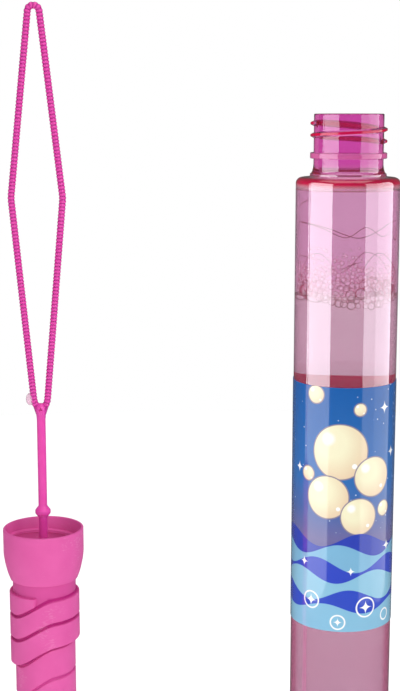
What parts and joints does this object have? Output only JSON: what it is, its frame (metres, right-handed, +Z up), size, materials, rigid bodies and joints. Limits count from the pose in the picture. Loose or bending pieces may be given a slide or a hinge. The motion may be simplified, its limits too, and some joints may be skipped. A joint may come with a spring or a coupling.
{
  "type": "long bubble wand",
  "caption": "Long kite-shaped bubble wand on a spiral-grooved screw-cap handle, standing beside its clear screw-neck tube of bubble solution.",
  "frame": {"origin": "on the floor, midway between the outer sides of the handle and the bottle", "axes": "+Z up along both pieces; +X from the handle towards the bottle; -Y is the front that the label faces"},
  "size_m": [0.146, 0.038, 0.302],
  "materials": {
    "bottle": "clear, glossy, pink",
    "label": "printed film, satin",
    "solution": "clear liquid",
    "grip": "matte, slightly waxy",
    "seal": "soft, matte",
    "holder": "matte",
    "plug": "matte",
    "wand": "satin"
  },
  "bodies": {
    "bottle": {"bottle": "bottle", "label_sleeve": "label", "bubble_solution": "solution"},
    "seal": {"seal_washer": "seal"},
    "handle": {"grip_shell": "grip", "stem_holder": "holder", "end_plug": "plug", "wand": "wand"}
  },
  "joints": [
    {"name": "handle_lift", "type": "slide", "parent": "bottle", "child": "seal", "axis": [0, 0, 1], "range_m": [0, 0.28]},
    {"name": "handle_twist", "type": "hinge", "parent": "seal", "child": "handle", "pos_m": [-0.05797, 0, 0.098], "axis": [0, 0, 1], "continuous": true}
  ]
}
